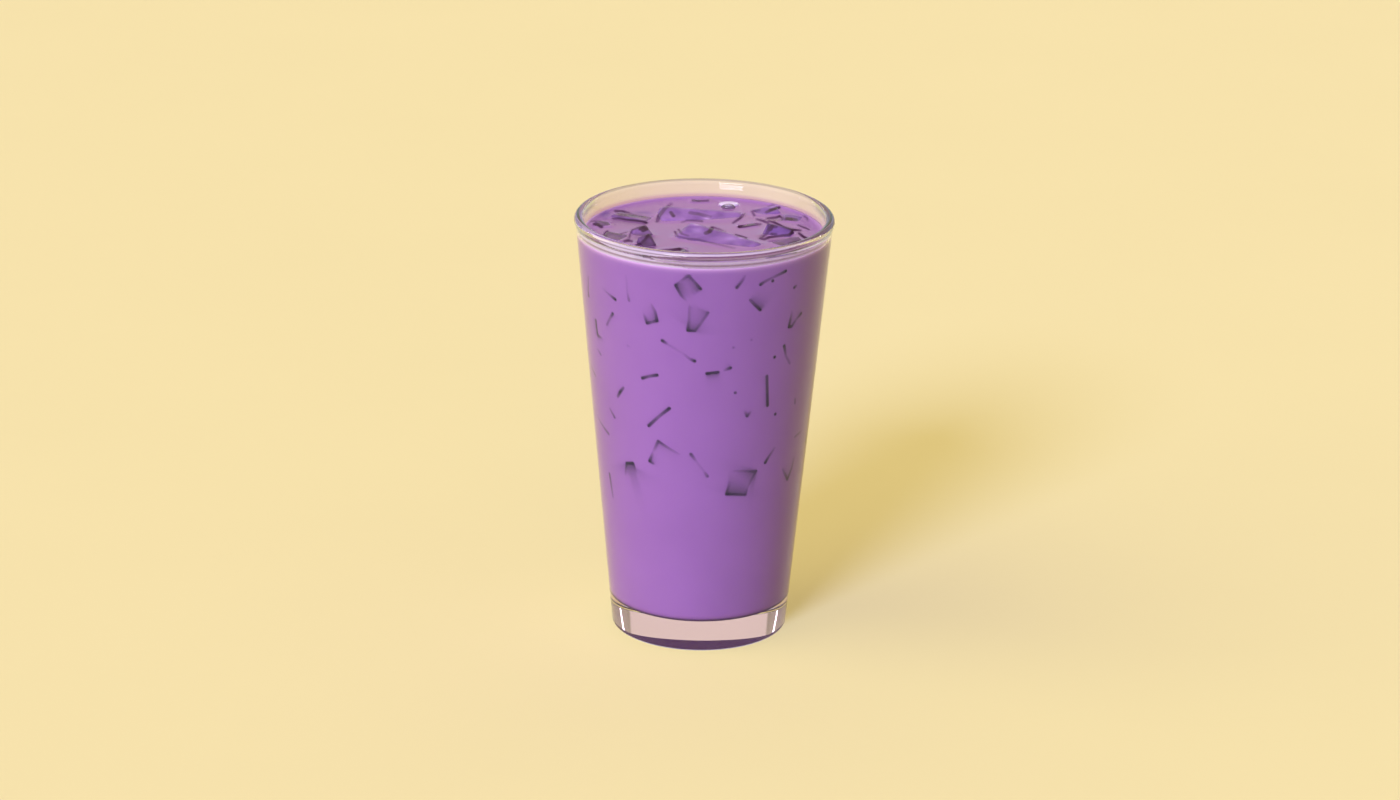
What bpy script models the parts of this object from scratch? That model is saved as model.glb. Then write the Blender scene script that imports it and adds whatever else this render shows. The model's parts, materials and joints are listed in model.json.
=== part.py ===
"""Iced ube latte: a straight-sided mixing glass, the drink in it, and the ice that breaks its surface.

Everything is in metres with +Z up. The origin is the middle of the glass's underside, which is
flat and stands on z = 0. -Y is the front.
"""

import math
import random

import bmesh
import bpy
from mathutils import Euler, Matrix, Vector

MM = 0.001

# ---------------------------------------------------------------- driving dimensions

GLASS_HEIGHT = 148.2 * MM
RIM_RADIUS = 44.45 * MM             # outermost reach of the rounded lip
BASE_RADIUS = 30.35 * MM            # where the leaning wall would meet the table
LIP_STANDS_OUT = 0.3 * MM           # how far the lip bulges past the wall's line
LIP_THICKNESS = 3.3 * MM
WALL_THICKNESS = 2.6 * MM
FLOOR_THICKNESS = 10.5 * MM         # the heavy glass bottom under the drink
FOOT_ROUNDING = 1.1 * MM
FLOOR_ROUNDING = 3.0 * MM           # fillet between the glass's floor and its inner wall

DRINK_LEVEL = 141.5 * MM
TOUCHING_GAP = 0.3 * MM             # left between solids that touch

TURN_STEPS = 72
ARC_STEPS = 4
ROUNDING_STEP = 1.0 * MM            # a rounded ice edge has about one facet to each of these
LEAST_FACETS = 2

ICE_SEED = 16
CORNER_WANDER = 0.05                # how far melting moves a corner, as a share of the edge

# Each piece of ice: middle of its top face (x, y, height over the drink), its edges
# (along, across, deep), its lean (roll, pitch, turn in degrees), and its melted rounding.
ICE = {
    "ice_front_slab": ((4.3, -9.3, 1.2), (31, 13, 16), (18, 5, -32), 2.6),
    "ice_back_slab": ((-0.8, 17.2, 1.0), (31, 12, 16), (19, 4.5, 2), 2.6),
    "ice_back_wall_chip": ((-1.5, 37.5, 0.3), (7, 3, 5), (0, 5, 3), 0.7),
    "ice_left_back_slab": ((-24.8, 16.8, 0.8), (14, 7, 9), (-4, 2, -24), 1.0),
    "ice_left_wall_chip": ((-34.6, 7.8, 0.7), (6, 5.5, 7), (6, 6, 15), 1.2),
    "ice_left_front_block": ((-30.3, -6.6, 0.8), (8.5, 8, 9), (4, 5, -14), 1.0),
    "ice_left_middle_corner": ((-21.4, -2.8, 1.2), (6.5, 6, 8), (22, -14, 20), 0.8),
    "ice_left_front_peak": ((-19.2, -15.2, 2.0), (5, 5.5, 9), (36, -10, 30), 0.6),
    "ice_front_sliver": ((-10.6, -20.8, 0.1), (10, 6, 8), (-6, -5, 6), 0.8),
    "ice_middle_sliver": ((14.7, 9.6, 0.3), (6.5, 3.5, 7), (-6, -3, 22), 0.6),
    "ice_right_back_block": ((21.3, 24.8, 1.0), (9, 6, 9), (8, -10, 12), 0.9),
    "ice_right_wall_slab": ((30.2, 17.6, 0.6), (7.5, 6.5, 8), (4, 3, -12), 0.9),
    "ice_right_wedge": ((24.6, -1.2, 1.1), (10, 7.5, 11), (33, 5, -24), 0.8),
    "ice_right_front_block": ((28.6, -10.9, 0.8), (10.5, 7.5, 9), (8, -6, 22), 0.9),
}


# ---------------------------------------------------------------- materials


def material(name, colour, roughness, transmission=0.0, ior=1.5):
    mat = bpy.data.materials.new(name)
    mat.use_nodes = True
    shader = mat.node_tree.nodes["Principled BSDF"]
    shader.inputs["Base Color"].default_value = (*colour, 1.0)
    shader.inputs["Roughness"].default_value = roughness
    shader.inputs["Metallic"].default_value = 0.0
    shader.inputs["Transmission Weight"].default_value = transmission
    shader.inputs["IOR"].default_value = ior
    return mat


# ---------------------------------------------------------------- profiles


def wall_outer_radius(z):
    """Radius of the glass's outside, a plain cone from the foot to the lip."""
    top = RIM_RADIUS - LIP_STANDS_OUT
    return BASE_RADIUS + (top - BASE_RADIUS) * z / GLASS_HEIGHT


def wall_inner_radius(z):
    return wall_outer_radius(z) - WALL_THICKNESS


def arc(centre, radius, start, end, steps=ARC_STEPS):
    """Points (r, z) on a round corner, angles in degrees from +r towards +z."""
    points = []
    for i in range(steps + 1):
        angle = math.radians(start + (end - start) * i / steps)
        points.append((centre[0] + radius * math.cos(angle), centre[1] + radius * math.sin(angle)))
    return points


def glass_profile():
    """From the middle of the inner floor, up the inside, over the lip and down the outside."""
    lean = math.degrees(math.atan2(wall_outer_radius(GLASS_HEIGHT) - BASE_RADIUS, GLASS_HEIGHT))
    corner_z = FLOOR_THICKNESS + FLOOR_ROUNDING
    corner_r = wall_inner_radius(corner_z) - FLOOR_ROUNDING
    lip_r = LIP_THICKNESS / 2
    lip_centre = (RIM_RADIUS - lip_r, GLASS_HEIGHT - lip_r)
    foot_r = wall_outer_radius(FOOT_ROUNDING) - FOOT_ROUNDING
    points = [(0.0, FLOOR_THICKNESS)]
    points += arc((corner_r, corner_z), FLOOR_ROUNDING, -90, -lean)
    points += arc(lip_centre, lip_r, 205, -30, 3 * ARC_STEPS)
    points += arc((foot_r, FOOT_ROUNDING), FOOT_ROUNDING, -lean, -90)
    points.append((0.0, 0.0))
    return points


def drink_profile():
    """From the middle of the surface outwards, down the wall and back to the axis."""
    floor_z = FLOOR_THICKNESS + TOUCHING_GAP
    corner_z = FLOOR_THICKNESS + FLOOR_ROUNDING
    rounding = FLOOR_ROUNDING - TOUCHING_GAP
    corner_r = wall_inner_radius(corner_z) - FLOOR_ROUNDING
    points = [(0.0, DRINK_LEVEL)]
    points.append((wall_inner_radius(DRINK_LEVEL) - TOUCHING_GAP, DRINK_LEVEL))
    points += arc((corner_r, corner_z), rounding, 0, -90)
    points.append((0.0, floor_z))
    return points


# ---------------------------------------------------------------- shapes


def new_object(name, mesh, collection, mat=None):
    obj = bpy.data.objects.new(name, mesh)
    collection.objects.link(obj)
    if mat is not None:
        mesh.materials.append(mat)
    return obj


def turned(name, profile, collection, mat):
    """A solid of revolution about Z from (r, z) points that start and end on the axis."""
    mesh = bpy.data.meshes.new(name)
    vertices = [(r, 0.0, z) for r, z in profile]
    edges = [(i, i + 1) for i in range(len(profile) - 1)]
    mesh.from_pydata(vertices, edges, [])
    obj = new_object(name, mesh, collection, mat)
    screw = obj.modifiers.new("turn", "SCREW")
    screw.axis = "Z"
    screw.angle = 2.0 * math.pi
    screw.steps = TURN_STEPS
    screw.render_steps = TURN_STEPS
    screw.use_merge_vertices = True
    screw.merge_threshold = 0.01 * MM
    screw.use_smooth_shade = True
    return obj


def melted_block(name, top, edges, lean, rounding, seed, grow=0.0):
    """A block of ice with wandering corners and rounded edges, as a mesh in place.

    grow moves every face outwards, for the pocket that the block leaves in the drink.
    """
    draw = random.Random(seed)
    turn = Euler([math.radians(a) for a in lean], "XYZ").to_matrix()
    size = Vector(edges) * MM
    middle = Vector((top[0], top[1], 0.0)) * MM + Vector((0.0, 0.0, DRINK_LEVEL + top[2] * MM))
    middle -= turn @ Vector((0.0, 0.0, size.z / 2))
    bm = bmesh.new()
    bmesh.ops.create_cube(bm, size=1.0)
    for corner in bm.verts:
        wander = [1.0 + CORNER_WANDER * draw.uniform(-1.0, 0.6) for _ in range(3)]
        for axis in range(3):
            side = math.copysign(1.0, corner.co[axis])
            corner.co[axis] = corner.co[axis] * size[axis] * wander[axis] + side * grow
    bmesh.ops.bevel(
        bm,
        geom=bm.edges[:],
        offset=rounding * MM + grow,
        segments=max(LEAST_FACETS, round(rounding * MM / ROUNDING_STEP)),
        profile=0.5,
        affect="EDGES",
        clamp_overlap=True,
    )
    bm.transform(Matrix.Translation(middle) @ turn.to_4x4())
    bmesh.ops.triangulate(bm, faces=bm.faces[:])
    mesh = bpy.data.meshes.new(name)
    bm.to_mesh(mesh)
    bm.free()
    mesh.shade_smooth()
    return mesh


# ---------------------------------------------------------------- the drink in its glass


def clear_scene():
    for obj in list(bpy.data.objects):
        bpy.data.objects.remove(obj, do_unlink=True)


def new_collection(name):
    collection = bpy.data.collections.new(name)
    bpy.context.scene.collection.children.link(collection)
    return collection


def make_ice(parts, cutters):
    """Every block that breaks the surface, and the pocket that it sits in."""
    ice = material("ice", (0.80, 0.70, 0.86), 0.06, transmission=0.9, ior=1.31)
    for number, (name, (top, edges, lean, rounding)) in enumerate(ICE.items()):
        seed = ICE_SEED + number
        block = melted_block(name, top, edges, lean, rounding, seed)
        new_object(name, block, parts, ice)
        pocket = melted_block(name + "_pocket", top, edges, lean, rounding, seed, TOUCHING_GAP)
        cutter = new_object(name + "_pocket", pocket, cutters)
        cutter.hide_render = True
        cutter.display_type = "WIRE"


def main():
    clear_scene()
    parts = new_collection("iced_ube_latte")
    cutters = new_collection("cutters")

    clear_glass = material("glass", (0.97, 0.98, 0.98), 0.02, transmission=1.0, ior=1.5)
    turned("glass", glass_profile(), parts, clear_glass)

    milky_ube = material("latte", (0.39, 0.16, 0.51), 0.35)
    latte = turned("latte", drink_profile(), parts, milky_ube)

    make_ice(parts, cutters)
    pockets = latte.modifiers.new("pockets", "BOOLEAN")
    pockets.operation = "DIFFERENCE"
    pockets.operand_type = "COLLECTION"
    pockets.collection = cutters
    pockets.solver = "EXACT"


main()
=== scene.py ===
"""Looks of the iced ube latte: the glass, the milky drink, the ice in it and a plain studio.

Lengths are in millimetres and scaled by MM, unless a comment says otherwise. The origin is the
middle of the glass's underside, +Z is up and -Y is the front.
"""

import json
import math
import random

import bmesh
import bpy
import numpy as np
from mathutils import Matrix, Quaternion, Vector, noise
from mathutils.bvhtree import BVHTree

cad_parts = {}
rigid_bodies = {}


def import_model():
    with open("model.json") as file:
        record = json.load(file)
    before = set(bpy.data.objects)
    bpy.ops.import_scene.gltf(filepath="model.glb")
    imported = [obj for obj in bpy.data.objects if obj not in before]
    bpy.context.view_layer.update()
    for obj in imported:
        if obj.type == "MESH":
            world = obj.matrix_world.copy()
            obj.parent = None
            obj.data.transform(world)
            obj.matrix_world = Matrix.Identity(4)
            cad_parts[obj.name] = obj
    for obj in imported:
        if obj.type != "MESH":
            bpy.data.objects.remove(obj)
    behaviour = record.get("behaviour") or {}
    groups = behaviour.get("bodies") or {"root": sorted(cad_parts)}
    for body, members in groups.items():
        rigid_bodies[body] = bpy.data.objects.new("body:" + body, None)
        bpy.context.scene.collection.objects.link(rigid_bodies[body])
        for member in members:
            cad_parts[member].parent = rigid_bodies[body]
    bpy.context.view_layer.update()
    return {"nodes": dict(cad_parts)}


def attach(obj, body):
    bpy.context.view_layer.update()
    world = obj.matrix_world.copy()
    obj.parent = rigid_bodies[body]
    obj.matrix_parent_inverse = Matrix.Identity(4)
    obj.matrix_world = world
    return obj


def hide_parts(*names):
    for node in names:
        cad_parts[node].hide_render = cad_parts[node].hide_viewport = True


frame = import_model()

MM = 0.001

# ---- the glass and the drink ----

GLASS_HEIGHT = 148.2
RIM_RADIUS = 44.45
BASE_RADIUS = 30.35  # where the leaning wall would meet the table
LIP_STANDS_OUT = 0.3
LIP_THICKNESS = 3.3
WALL = 2.6
FLOOR = 10.5  # thickness of the glass bottom
FOOT_ROUNDING = 1.1
FLOOR_ROUNDING = 3.0
DRINK_LEVEL = 141.5
INTO_THE_GLASS = 0.06  # the drink reaches this far into the wall: no air gap
INTO_THE_ICE = 0.04
FOOT_RING = 2.2  # width of the ring that the glass stands on
FOOT_STEP = 0.8  # width of the step up to the raised underside inside it
UNDERSIDE_RISE = 0.4
UNDERSIDE_DOME = 0.20  # how much more it rises at the middle
GLASS_COLUMNS = 288

# ---- the camera ----

CAMERA_DISTANCE = 1559.35  # to the middle of the glass
CAMERA_ELEVATION = 19.737  # degrees, as are the next three
CAMERA_ROLL = 0.8316
CAMERA_PITCH = 0.2484  # the glass sits this much below the picture's middle
CAMERA_YAW = -0.0236
LENS = 115.915
SENSOR = 36.0


# ---- helpers ----


def wall_outer_radius(z):
    top = RIM_RADIUS - LIP_STANDS_OUT
    return BASE_RADIUS + (top - BASE_RADIUS) * z / GLASS_HEIGHT


def wall_inner_radius(z):
    return wall_outer_radius(z) - WALL


def drink_radius(z):
    return wall_inner_radius(z) + INTO_THE_GLASS


WALL_LEAN = math.degrees(math.atan2(wall_outer_radius(GLASS_HEIGHT) - BASE_RADIUS, GLASS_HEIGHT))


def rise(value, start, full):
    """0 as far as start, 1 from full on, and even between the two."""
    return min(1.0, max(0.0, (value - start) / (full - start)))


def smooth_step(t):
    return t * t * (3.0 - 2.0 * t)


def arc(centre, radius, start, end, steps):
    """Points (r, z) on a round corner, angles in degrees from +r towards +z."""
    angles = [math.radians(start + (end - start) * i / steps) for i in range(steps + 1)]
    return [(centre[0] + radius * math.cos(a), centre[1] + radius * math.sin(a)) for a in angles]


def link(obj):
    bpy.context.scene.collection.objects.link(obj)
    return obj


def skin(name, rings, first, last):
    """A closed skin round the z axis, between two points on it. Each ring is (r, z, columns), with
    as many columns as the ring before it, or twice or half as many."""
    vertices = [(0.0, 0.0, first)]
    starts = []
    for r, z, columns in rings:
        starts.append(len(vertices))
        for i in range(columns):
            a = 2.0 * math.pi * i / columns
            vertices.append((r * math.cos(a), r * math.sin(a), z))
    vertices.append((0.0, 0.0, last))
    columns = rings[0][2]
    faces = [(0, 1 + i, 1 + (i + 1) % columns) for i in range(columns)]
    for k in range(len(rings) - 1):
        a, b = starts[k], starts[k + 1]
        columns_a, columns_b = rings[k][2], rings[k + 1][2]
        fewer = min(columns_a, columns_b)
        for i in range(fewer):
            j = (i + 1) % fewer
            if columns_a == columns_b:
                faces.append((a + i, b + i, b + j, a + j))
            elif columns_a < columns_b:
                faces.append((a + i, b + 2 * i, b + 2 * i + 1, b + 2 * j, a + j))
            else:
                faces.append((a + 2 * i, b + i, b + j, a + 2 * j, a + 2 * i + 1))
    end, columns = len(vertices) - 1, rings[-1][2]
    faces += [(starts[-1] + i, end, starts[-1] + (i + 1) % columns) for i in range(columns)]
    mesh = bpy.data.meshes.new(name)
    mesh.from_pydata([tuple(Vector(v) * MM) for v in vertices], [], faces)
    mesh.update()
    return link(bpy.data.objects.new(name, mesh))


def revolve(name, profile, columns):
    """A smooth solid of revolution from (r, z) points that start and end on the axis."""
    rings = [(r, z, columns) for r, z in profile[1:-1]]
    obj = skin(name, rings, profile[0][1], profile[-1][1])
    obj.data.shade_smooth()
    return obj


def read_triples(items, name):
    values = np.empty(len(items) * 3, np.float32)
    items.foreach_get(name, values)
    return values.reshape(-1, 3).astype(float)


def points_of(mesh):
    return read_triples(mesh.vertices, "co")


def normals_of(mesh):
    return read_triples(mesh.vertex_normals, "vector")


def set_points(mesh, points):
    mesh.vertices.foreach_set("co", points.astype(np.float32).ravel())
    mesh.update()


def apply_modifiers(obj):
    dg = bpy.context.evaluated_depsgraph_get()
    mesh = bpy.data.meshes.new_from_object(obj.evaluated_get(dg))
    obj.modifiers.clear()
    obj.data = mesh


def add_values(mesh, **layers):
    """Stores a number at each point for the materials to read."""
    for name, values in layers.items():
        if name in mesh.attributes:
            mesh.attributes.remove(mesh.attributes[name])
        layer = mesh.attributes.new(name, "FLOAT", "POINT")
        layer.data.foreach_set("value", values.astype(np.float32))


class Nodes:
    """Small helper that adds shader nodes."""

    def __init__(self, owner):
        owner.use_nodes = True
        owner.node_tree.nodes.clear()
        self.owner = owner

    def add(self, kind, sockets=None, **settings):
        """A node. Each of its sockets takes a number, a colour or the output of another node."""
        tree = self.owner.node_tree
        node = tree.nodes.new(kind)
        for name, value in settings.items():
            setattr(node, name, value)
        for name, value in (sockets or {}).items():
            if isinstance(value, (int, float)):
                node.inputs[name].default_value = value
            elif isinstance(value, tuple):
                node.inputs[name].default_value = (*value, 1.0)
            else:
                tree.links.new(value, node.inputs[name])
        return node

    def stored(self, name):
        """The number that add_values keeps at each point under this name."""
        return self.add("ShaderNodeAttribute", attribute_name=name).outputs["Fac"]

    def split(self, vector):
        return self.add("ShaderNodeSeparateXYZ", {0: vector}).outputs

    def noise(self, *values):
        names = ("Scale", "Detail", "Roughness", "Vector")
        return self.add("ShaderNodeTexNoise", dict(zip(names, values))).outputs["Fac"]

    def remap(self, *values):
        """The first value moved from one range to another, or to 0 to 1 if no other is given."""
        names = ("Value", "From Min", "From Max", "To Min", "To Max")
        return self.add("ShaderNodeMapRange", dict(zip(names, values))).outputs["Result"]

    def math(self, operation, a, b=0.0):
        return self.add("ShaderNodeMath", {0: a, 1: b}, operation=operation).outputs[0]

    def mix_colour(self, factor, a, b):
        return self.add("ShaderNodeMix", {0: factor, 6: a, 7: b}, data_type="RGBA").outputs[2]


def new_material(name):
    """The nodes of a material, and the place on the piece in metres."""
    n = Nodes(bpy.data.materials.new(name))
    return n, n.add("ShaderNodeTexCoord").outputs["Object"]


def finish_material(n, sockets, see_through=False):
    """Adds the shader. Soft light passes straight through a see-through one; views still bend."""
    surface = n.add("ShaderNodeBsdfPrincipled", sockets).outputs[0]
    if see_through:
        path = n.add("ShaderNodeLightPath").outputs
        soft = n.math("MAXIMUM", path["Is Shadow Ray"], path["Is Diffuse Ray"])
        straight = n.add("ShaderNodeBsdfTransparent").outputs[0]
        surface = n.add("ShaderNodeMixShader", {0: soft, 1: surface, 2: straight}).outputs[0]
    n.add("ShaderNodeOutputMaterial", {"Surface": surface})
    return n.owner


# ---- materials ----

# Painted reflections: the dark lines that the rounded lip gathers from the room, and its grey-blue
# ends; and the drink's film low at the back. Each pair goes from where it begins to show to
# where it is full: its depth below the rim, height above the drink, distance to either side, or y.
TOP_LINE_DEPTH = (0.5, 0.3)
TOP_LINE = (0.48, 0.41, 0.60)
FRONT_LINES = ((1.15, 0.3, 0.9), (2.3, 0.38, 0.95), (4.6, 0.45, 1.0))  # depth, half width, strength
FRONT_LINES_Y = (0.0, -20.0)
FRONT_LINE_CORE = 0.3  # share of the half width that is full
FRONT_LINE = (0.45, 0.36, 0.38)
LIP_ENDS_ASIDE = (37.0, 42.5)
LIP_ENDS_DEPTH = (3.4, 2.6)
LIP_ENDS = (0.46, 0.52, 0.60)
LOW_FILM_HEIGHT = (2.1, 0.9)
LOW_FILM_Y = (0.0, 20.0)
LOW_FILM = (0.70, 0.47, 0.84)


def lip_lines(n, where, colour):
    """The glass's colour, darker along the lines of its lip: painted reflections."""
    x, y, height = n.split(where)
    depth = n.math("SUBTRACT", GLASS_HEIGHT * MM, height)
    above = n.math("SUBTRACT", height, DRINK_LEVEL * MM)

    def shown(value, pair):
        return n.remap(value, pair[0] * MM, pair[1] * MM)

    def changed(colour, one, other, to):
        return n.mix_colour(n.math("MULTIPLY", one, other), colour, to)

    colour = n.mix_colour(shown(depth, TOP_LINE_DEPTH), colour, TOP_LINE)
    colour = changed(colour, shown(above, LOW_FILM_HEIGHT), shown(y, LOW_FILM_Y), LOW_FILM)
    in_front = shown(y, FRONT_LINES_Y)
    for middle, half, strength in FRONT_LINES:
        away = n.math("ABSOLUTE", n.math("SUBTRACT", depth, middle * MM))
        line = n.remap(away, FRONT_LINE_CORE * half * MM, half * MM, strength, 0.0)
        colour = changed(colour, line, in_front, FRONT_LINE)
    aside = shown(n.math("ABSOLUTE", x), LIP_ENDS_ASIDE)
    return changed(colour, aside, shown(depth, LIP_ENDS_DEPTH), LIP_ENDS)


MILK = (0.286, 0.117, 0.384)
MILK_DEEP = (0.266, 0.107, 0.356)
MILK_OPEN = (0.306, 0.122, 0.362)  # the same milk where it is open to the air
MILK_OPEN_DEEP = (0.282, 0.111, 0.334)
FROTH = (0.58, 0.32, 0.62)  # the thin pale edge where the drink meets the glass
# The dark ice colour also colours the painted shade round the drink's bottom
ICE_SEEN = (0.014, 0.010, 0.042)  # dark clear ice with no milk behind it
ICE_OPEN = (0.045, 0.014, 0.038)  # the same above the drink
PAINTED_ICE_HIGHLIGHT = (0.56, 0.30, 0.70)  # painted highlight: ice under a thin sheet of milk where light falls
DEEP = (0.15, 0.06, 0.27)  # ice a little way down
PAINTED_ICE_SHADE = (0.14, 0.065, 0.12)  # painted shade on the ice
ICE_FILM = (0.31, 0.135, 0.41)  # the milk that clings to ice
ICE_FILM_DEEP = (0.23, 0.09, 0.33)
RESIDUE_AND_REFLECTION = (0.92, 0.79, 0.93)  # the drink's film on the glass above it, partly painted reflection of the drink
RESIDUE_AND_REFLECTION_DEEP = (0.89, 0.74, 0.91)
# Clear glass, and glass with a thin and a thicker film on it, whose pale colour is partly a
# painted reflection and, on the lip, a painted highlight: how much light they let through,
# and their two colours
GLASSES = (
    ("clear_glass", 1.0, (0.985, 0.99, 0.99), (0.97, 0.98, 0.975)),
    ("filmed_glass", 0.85, RESIDUE_AND_REFLECTION, RESIDUE_AND_REFLECTION_DEEP),
    ("filmed_lip_and_highlight", 0.55, RESIDUE_AND_REFLECTION, RESIDUE_AND_REFLECTION_DEEP),
)
CLEAR, FILMED, THICK_FILM_AND_HIGHLIGHT = range(3)
NOISE_RANGE = (0.3, 0.7)  # where most of a noise lies


def glass_material(name, clear, colour, deeper):
    n, where = new_material(name)
    smudge = n.noise(60.0, 4.0, 0.6, where)
    colour = n.mix_colour(n.noise(25.0, 2.0, 0.5, where), colour, deeper)
    return finish_material(n, {
        "Base Color": lip_lines(n, where, colour),
        "Roughness": n.remap(smudge, 0.35, 0.8, 0.0, 0.015),
        "IOR": 1.5,
        "Transmission Weight": clear,
    }, see_through=True)


def ice_colours(n, base, seen=ICE_OPEN):
    """The base colour changed at each point by the ice, and by painted highlights and shade on it."""
    layers = (("froth", FROTH), ("pale", PAINTED_ICE_HIGHLIGHT), ("deep", DEEP), ("dull", PAINTED_ICE_SHADE), ("ice_seen", seen))
    for name, colour in layers:
        base = n.mix_colour(n.stored(name), base, colour)
    return base


def latte_material(name, colour, deeper, specular, roughness, seen):
    """The milky drink, with the ice that shows through it and its paler edge."""
    n, where = new_material(name)
    clouds = n.noise(45.0, 4.0, 0.55, where)
    milk = n.mix_colour(n.remap(clouds, *NOISE_RANGE), colour, deeper)
    rough = n.remap(clouds, *NOISE_RANGE, roughness * 0.8, roughness * 1.25)
    return finish_material(n, {
        "Base Color": ice_colours(n, milk, seen),
        "Roughness": n.math("MAXIMUM", rough, n.stored("ice_seen")),
        "IOR": 1.34,
        "Specular IOR Level": specular,
    })


def ice_material():
    """Clear ice, with milk clinging to it as far as the attribute "milky" says."""
    n, where = new_material("wet_ice")
    frost = n.noise(220.0, 4.0, 0.6, where)
    patchy = n.remap(n.noise(160.0, 3.0, 0.5, where), 0.35, 0.65)
    return finish_material(n, {
        "Base Color": ice_colours(n, n.mix_colour(patchy, ICE_FILM, ICE_FILM_DEEP)),
        "Roughness": n.remap(frost, 0.4, 0.75, 0.03, 0.14),
        "IOR": 1.31,
        "Transmission Weight": n.math("SUBTRACT", 1.0, n.stored("milky")),
    }, see_through=True)


# Pale cloudy skin and dark clear skin, partly painted reflections
BUBBLE_CLOUDY_REFLECTION = (0.84, 0.70, 0.90)
BUBBLE_CLOUDY_REFLECTION_DEEP = (0.70, 0.54, 0.78)
BUBBLE_CLEAR_DARK_REFLECTION = (0.42, 0.36, 0.44)


def bubble_material():
    """A thin skin of drink: cloudy where it is thick with froth, clear and dark elsewhere. The
    pale and the dark are partly painted reflections.
    """
    n, where = new_material("bubble_skin")
    clear = n.stored("clear")
    streaks = n.noise(900.0, 3.0, 0.6, where)
    cloudy = n.mix_colour(streaks, BUBBLE_CLOUDY_REFLECTION, BUBBLE_CLOUDY_REFLECTION_DEEP)
    return finish_material(n, {
        "Base Color": n.mix_colour(clear, cloudy, BUBBLE_CLEAR_DARK_REFLECTION),
        "Roughness": n.remap(streaks, *NOISE_RANGE, 0.0, 0.05),
        "IOR": 1.45,
        "Transmission Weight": n.remap(clear, 0.0, 1.0, 0.40, 0.95),
    }, see_through=True)


FLOOR_PALE = (0.786, 0.648, 0.365)
FLOOR_DEEP = (0.770, 0.634, 0.355)
GLOW = (0.15, 0.135, 0.04)  # light that the clear base passes on to the floor by it
GLOW_REACH = 30.0  # mm


def floor_material():
    n, where = new_material("pale_floor")
    mottle = n.noise(9.0, 3.0, 0.5, where)
    distance = n.add("ShaderNodeVectorMath", {0: where}, operation="LENGTH").outputs["Value"]
    away = n.math("SUBTRACT", distance, BASE_RADIUS * MM)
    fade = n.math("EXPONENT", n.math("MULTIPLY", away, -1.0 / (GLOW_REACH * MM)))
    return finish_material(n, {
        "Base Color": n.mix_colour(mottle, FLOOR_PALE, FLOOR_DEEP),
        "Roughness": n.remap(mottle, *NOISE_RANGE, 0.9, 1.0),
        "Specular IOR Level": 0.0,
        "Emission Color": GLOW,
        "Emission Strength": fade,
    })


# ---- studio ----


def make_camera():
    data = bpy.data.cameras.new("camera")
    data.lens = LENS
    data.sensor_width = SENSOR
    cam = link(bpy.data.objects.new("camera", data))
    turns = (CAMERA_ELEVATION, CAMERA_ROLL, CAMERA_PITCH, CAMERA_YAW)
    elevation, roll, pitch, yaw = (math.radians(a) for a in turns)
    back = Vector((0, -math.cos(elevation), math.sin(elevation)))
    cam.location = (Vector((0, 0, GLASS_HEIGHT / 2)) + CAMERA_DISTANCE * back) * MM
    right = Vector((1, 0, 0))
    up = right.cross(-back)
    forward = (-back + right * math.tan(yaw) + up * math.tan(pitch)).normalized()
    side = forward.cross(up).normalized()
    top = side.cross(forward)
    x = side * math.cos(roll) + top * math.sin(roll)
    y = -side * math.sin(roll) + top * math.cos(roll)
    cam.rotation_mode = "QUATERNION"
    cam.rotation_quaternion = Matrix((x, y, -forward)).transposed().to_quaternion()
    bpy.context.scene.camera = cam


def make_floor():
    bpy.ops.mesh.primitive_plane_add(size=12.0)
    floor = bpy.context.object
    floor.name = "floor"
    floor.data.materials.append(floor_material())
    floor.visible_diffuse = False  # the light that it sends up comes from make_world instead


# Far soft lamps for matt surfaces only: degrees round from the front, up and wide, and the
# strength of their red, green and blue
SUNS = (
    ("key", -26, 31.5, 18.0, (1.46, 1.83, 3.34)),
    ("fill", -75, 35, 60.0, (1.0, 1.03, 0.51)),
    ("low_warm", 8, 6, 40.0, (0.50, 0.37, 0.10)),
)
# Rectangles of light that only show in glass, ice and the drink's gloss: degrees round and up,
# size in m, power, colour, and degrees that each leans in its own plane
SOFTBOXES = (
    ("strip_left", -128, 22, (0.07, 0.42), 0.42, (1.0, 0.98, 0.95), 42.0),
    ("strip_right", 128, 22, (0.07, 0.42), 0.42, (1.0, 0.98, 0.95), -42.0),
    ("key_seen_in_gloss", -26, 33, (0.9, 0.55), 22.0, (0.92, 0.96, 1.0), 0.0),
)
SOFTBOX_DISTANCE = 2.6  # m


def add_lamp(kind, name, azimuth, elevation):
    """A lamp and its direction: azimuth in degrees from the front (-Y) towards +X."""
    lamp = link(bpy.data.objects.new(name, bpy.data.lights.new(name, kind)))
    a, e = math.radians(azimuth), math.radians(elevation)
    direction = Vector((math.sin(a) * math.cos(e), -math.cos(a) * math.cos(e), math.sin(e)))
    lamp.rotation_mode = "QUATERNION"
    lamp.rotation_quaternion = direction.to_track_quat("Z", "Y")
    return lamp, direction


def sun(name, azimuth, elevation, angle, light):
    lamp, _ = add_lamp("SUN", name, azimuth, elevation)
    lamp.data.energy = max(light)
    lamp.data.angle = math.radians(angle)
    lamp.data.color = [c / max(light) for c in light]
    lamp.visible_glossy = False
    lamp.visible_transmission = False


def softbox(name, azimuth, elevation, size, power, colour, lean):
    lamp, direction = add_lamp("AREA", name, azimuth, elevation)
    lamp.data.shape = "RECTANGLE"
    lamp.data.size, lamp.data.size_y = size
    lamp.data.energy = power
    lamp.data.color = colour
    lamp.location = Vector((0, 0, GLASS_HEIGHT / 2 * MM)) + direction * SOFTBOX_DISTANCE
    lamp.rotation_quaternion @= Quaternion((0, 0, 1), math.radians(lean))
    lamp.visible_diffuse = False


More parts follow.
